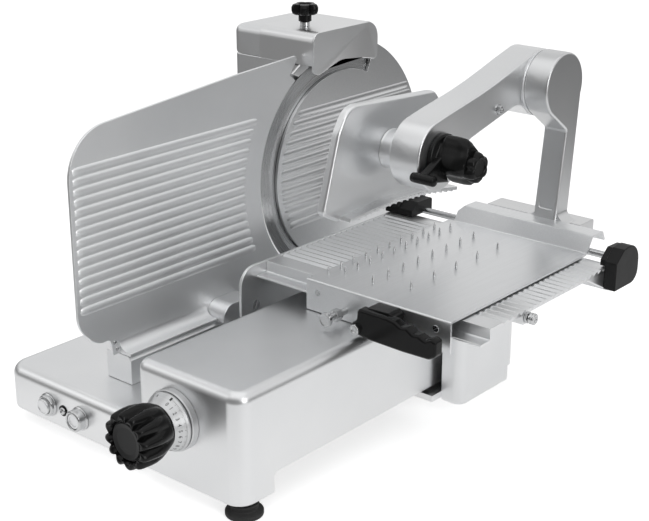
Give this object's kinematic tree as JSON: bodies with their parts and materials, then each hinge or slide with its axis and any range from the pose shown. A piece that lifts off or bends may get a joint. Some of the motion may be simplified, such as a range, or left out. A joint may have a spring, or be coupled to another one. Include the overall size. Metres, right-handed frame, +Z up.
{
  "type": "meat slicer",
  "caption": "Upright meat slicer with sliding carriage, spiked product plate, swinging press arm, gauge plate and round blade.",
  "frame": {"origin": "middle of the bounding box, on the floor under the feet", "axes": "+Z up, +Y away from the operator along the carriage's travel, +X to the right along the blade's axis"},
  "size_m": [0.5462, 0.6926, 0.466],
  "materials": {
    "cast_aluminium": "satin, bead blasted and anodised",
    "polished_steel": "polished",
    "brushed_steel": "brushed",
    "black_plastic": "semi-gloss moulded",
    "rubber": "matte",
    "grinding_stone": "matte grit",
    "brass": "machined"
  },
  "bodies": {
    "base": {"drive_housing": "cast_aluminium", "base_slab": "cast_aluminium", "bottom_plate": "brushed_steel", "foot_front_right": "rubber", "foot_rear_right": "rubber", "foot_front_left": "rubber", "foot_rear_left": "rubber", "start_bezel": "polished_steel", "stop_bezel": "polished_steel", "pilot_lamp": "polished_steel", "power_inlet": "black_plastic", "tower": "cast_aluminium", "motor": "cast_aluminium", "drive_belt": "rubber", "blade_bearing": "brushed_steel", "blade_cover": "polished_steel", "guard_ring": "cast_aluminium", "sharpener_bracket": "cast_aluminium", "sharpening_stone": "grinding_stone", "truing_stone": "grinding_stone", "gauge_beam": "cast_aluminium", "index_ring": "polished_steel", "spindle_bracket": "brushed_steel", "carriage_rail": "polished_steel"},
    "start_switch": {"start_button": "brushed_steel"},
    "stop_switch": {"stop_button": "brushed_steel"},
    "motor_rotor": {"motor_pulley": "brushed_steel"},
    "blade_rotor": {"blade": "polished_steel", "blade_shaft": "brushed_steel", "blade_pulley": "cast_aluminium"},
    "sharpener": {"sharpener_cover": "cast_aluminium"},
    "sharpener_handle": {"sharpener_knob": "black_plastic"},
    "gauge": {"gauge_plate": "cast_aluminium", "gauge_carrier": "brushed_steel", "guide_cover": "cast_aluminium"},
    "thickness_setting": {"dial": "polished_steel", "thickness_knob": "black_plastic", "thickness_spindle": "brushed_steel", "thickness_cam": "brass"},
    "carriage": {"carriage_table": "cast_aluminium", "carriage_end_plate": "cast_aluminium", "carriage_apron": "cast_aluminium", "carriage_bearing": "brushed_steel", "guide_rod": "polished_steel", "rod_block_left": "black_plastic", "rod_block_right": "black_plastic"},
    "front_roller": {"roller_front": "black_plastic"},
    "rear_roller": {"roller_rear": "black_plastic"},
    "eye_screw": {"eye_screw": "polished_steel"},
    "product_holder": {"product_plate": "brushed_steel", "grip_pivot": "polished_steel", "arm_bracket": "cast_aluminium"},
    "holder_clamp": {"clamp_screw": "polished_steel"},
    "holder_lever": {"grip_lever": "black_plastic"},
    "press_arm": {"arm": "cast_aluminium", "arm_pin": "polished_steel"},
    "press": {"pusher_shaft": "cast_aluminium", "pusher_plate": "cast_aluminium"},
    "press_knob": {"clamp_knob": "black_plastic"}
  },
  "joints": [
    {"name": "start_press", "type": "slide", "parent": "base", "child": "start_switch", "axis": [0, 1, 0], "range_m": [0, 0.0025], "stiffness_N_per_m": 400},
    {"name": "stop_press", "type": "slide", "parent": "base", "child": "stop_switch", "axis": [0, 1, 0], "range_m": [0, 0.0025], "stiffness_N_per_m": 400},
    {"name": "blade_spin", "type": "hinge", "parent": "base", "child": "blade_rotor", "pos_m": [-0.12515, 0.1793, 0.249], "axis": [1, 0, 0], "continuous": true},
    {"name": "motor_spin", "type": "hinge", "parent": "base", "child": "motor_rotor", "pos_m": [-0.16015, 0.1673, 0.131], "axis": [1, 0, 0], "continuous": true},
    {"name": "sharpener_lift", "type": "slide", "parent": "base", "child": "sharpener", "axis": [0, 0, 1], "range_m": [0, 0.045]},
    {"name": "sharpener_knob_turn", "type": "hinge", "parent": "sharpener", "child": "sharpener_handle", "pos_m": [-0.14615, 0.1373, 0.446], "axis": [0, 0, 1], "range_deg": [0, 180]},
    {"name": "gauge_slide", "type": "slide", "parent": "base", "child": "gauge", "axis": [-1, 0, 0], "range_m": [0, 0.014]},
    {"name": "thickness_turn", "type": "hinge", "parent": "base", "child": "thickness_setting", "pos_m": [0.02585, -0.3107, 0.094], "axis": [0, 1, 0], "range_deg": [0, 270]},
    {"name": "carriage_slide", "type": "slide", "parent": "base", "child": "carriage", "axis": [0, 1, 0], "range_m": [-0.265, 0.025]},
    {"name": "front_roller_spin", "type": "hinge", "parent": "carriage", "child": "front_roller", "pos_m": [-0.01515, 0.0293, 0.1583], "axis": [1, 0, 0], "range_deg": [-120, 1270]},
    {"name": "rear_roller_spin", "type": "hinge", "parent": "carriage", "child": "rear_roller", "pos_m": [-0.01515, 0.1943, 0.1583], "axis": [1, 0, 0], "range_deg": [-120, 1270]},
    {"name": "eye_screw_turn", "type": "hinge", "parent": "carriage", "child": "eye_screw", "pos_m": [0.25985, 0.0493, 0.172], "axis": [1, 0, 0], "range_deg": [0, 360]},
    {"name": "product_slide", "type": "slide", "parent": "carriage", "child": "product_holder", "axis": [1, 0, 0], "range_m": [-0.045, 0.028]},
    {"name": "holder_clamp_turn", "type": "hinge", "parent": "product_holder", "child": "holder_clamp", "pos_m": [0.07185, -0.0607, 0.159], "axis": [0, 1, 0], "range_deg": [0, 360]},
    {"name": "holder_lever_turn", "type": "hinge", "parent": "product_holder", "child": "holder_lever", "pos_m": [0.11185, -0.0657, 0.157], "axis": [0, -1, 0], "range_deg": [0, 25]},
    {"name": "arm_pivot", "type": "hinge", "parent": "product_holder", "child": "press_arm", "pos_m": [0.09985, 0.2803, 0.377], "axis": [-1, 0, 0], "range_deg": [-8, 85]},
    {"name": "press_swivel", "type": "hinge", "parent": "press_arm", "child": "press", "pos_m": [0.09985, 0.0718, 0.327], "axis": [1, 0, 0], "range_deg": [-20, 20]},
    {"name": "press_knob_turn", "type": "hinge", "parent": "press_arm", "child": "press_knob", "pos_m": [0.09985, 0.0718, 0.327], "axis": [1, 0, 0], "range_deg": [-90, 120]}
  ],
  "couplings": [
    {"joint": "motor_spin", "follows": "blade_spin", "ratio": 1.8889},
    {"joint": "thickness_turn", "follows": "gauge_slide", "rad_per_m": 336.59},
    {"joint": "front_roller_spin", "follows": "carriage_slide", "rad_per_m": -83.333},
    {"joint": "rear_roller_spin", "follows": "carriage_slide", "rad_per_m": -83.333}
  ]
}
